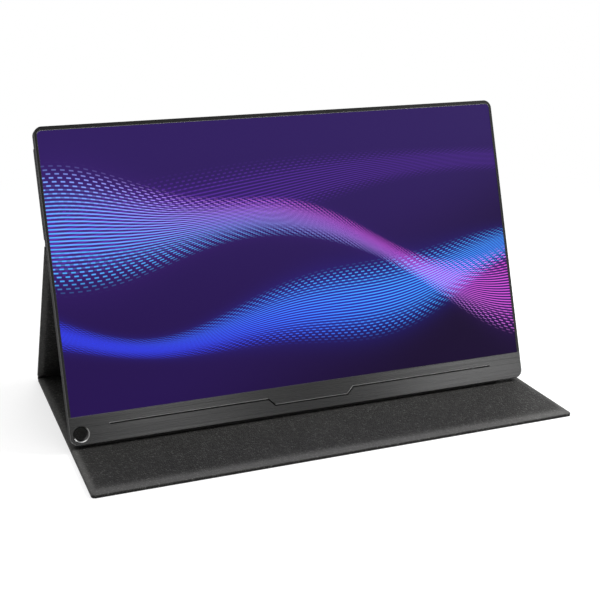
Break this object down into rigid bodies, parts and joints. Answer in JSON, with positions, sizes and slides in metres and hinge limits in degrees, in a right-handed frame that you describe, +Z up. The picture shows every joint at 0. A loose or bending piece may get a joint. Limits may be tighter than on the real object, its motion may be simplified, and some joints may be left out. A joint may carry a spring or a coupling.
{
  "type": "portable monitor with cover",
  "caption": "Slim flat monitor standing at an angle on its folding magnetic leather cover, with a wide chin, pen hole, side sockets and controls.",
  "frame": {"origin": "on the table, under the middle of the cover's footprint", "axes": "+X along the screen to the viewer's right, +Y to the back, +Z up"},
  "size_m": [0.3562, 0.222, 0.2145],
  "materials": {
    "cover_leather": "grained black PU leather",
    "cover_lining": "fine-grained black lining",
    "stiffener": "grey fibreboard",
    "strip_rubber": "matt silicone",
    "magnet": "plated magnets",
    "bezel_metal": "hairline-brushed dark grey",
    "ring_metal": "turned and bevelled",
    "screen_glass": "lit screen behind glass",
    "optic_sheet": "clear and white sheets",
    "led_amber": "flexible strip with LEDs",
    "tray_metal": "pressed sheet",
    "flex_circuit": "amber polyimide",
    "circuit_board": "green solder mask",
    "socket_metal": "plated shells",
    "black_plastic": "moulded black",
    "lead_wire": "red insulation",
    "plate_steel": "zinc-plated",
    "shell_metal": "matt black anodised",
    "button_metal": "satin"
  },
  "bodies": {
    "base": {"base_skin": "cover_leather", "base_board": "stiffener", "base_lining": "cover_lining", "seat_strips": "strip_rubber", "base_magnets": "magnet"},
    "leg": {"leg_skin": "cover_leather", "leg_board": "stiffener", "spine_board": "stiffener", "leg_lining": "cover_lining"},
    "upper_panel": {"upper_skin": "cover_leather", "upper_board": "stiffener", "upper_lining": "cover_lining", "upper_magnets": "magnet"},
    "monitor": {"front_bezel": "bezel_metal", "pen_hole_ring": "ring_metal", "lcd_cell": "screen_glass", "optical_films": "optic_sheet", "light_guide": "optic_sheet", "led_strip": "led_amber", "reflector_sheet": "optic_sheet", "display_tray": "tray_metal", "panel_flex": "flex_circuit", "panel_board": "circuit_board", "display_cable": "flex_circuit", "main_board": "circuit_board", "scaler_shield": "tray_metal", "usb_c_sockets": "socket_metal", "hdmi_socket": "socket_metal", "earphone_socket": "black_plastic", "speaker_left": "black_plastic", "speaker_right": "black_plastic", "speaker_leads": "lead_wire", "steel_plate": "plate_steel", "rear_shell": "shell_metal", "rear_screws": "plate_steel", "wheel_switch": "black_plastic", "power_switch": "black_plastic"},
    "menu_wheel": {"menu_wheel": "black_plastic"},
    "power_button": {"power_button": "button_metal"}
  },
  "joints": [
    {"name": "rear_fold", "type": "hinge", "parent": "base", "child": "leg", "pos_m": [0, 0.11035, 0.0014], "axis": [-1, 0, 0], "range_deg": [0, 126.05]},
    {"name": "upper_fold", "type": "hinge", "parent": "leg", "child": "upper_panel", "pos_m": [0, 0.01265, 0.1356], "axis": [1, 0, 0], "range_deg": [0, 54.35]},
    {"name": "lift_off", "type": "slide", "parent": "upper_panel", "child": "monitor", "axis": [0, 0.314, 0.9494], "range_m": [0, 0.22]},
    {"name": "power_press", "type": "slide", "parent": "monitor", "child": "power_button", "axis": [-1, 0, 0], "range_m": [0, 0.0004], "stiffness_N_per_m": 400},
    {"name": "menu_turn", "type": "hinge", "parent": "monitor", "child": "menu_wheel", "pos_m": [0.1742, -0.00239, 0.10477], "axis": [0, 0.9494, -0.314], "range_deg": [-20, 20], "stiffness_Nm_per_rad": 0.01}
  ],
  "couplings": [
    {"joint": "upper_fold", "follows": "rear_fold", "ratio": 0.43119}
  ]
}
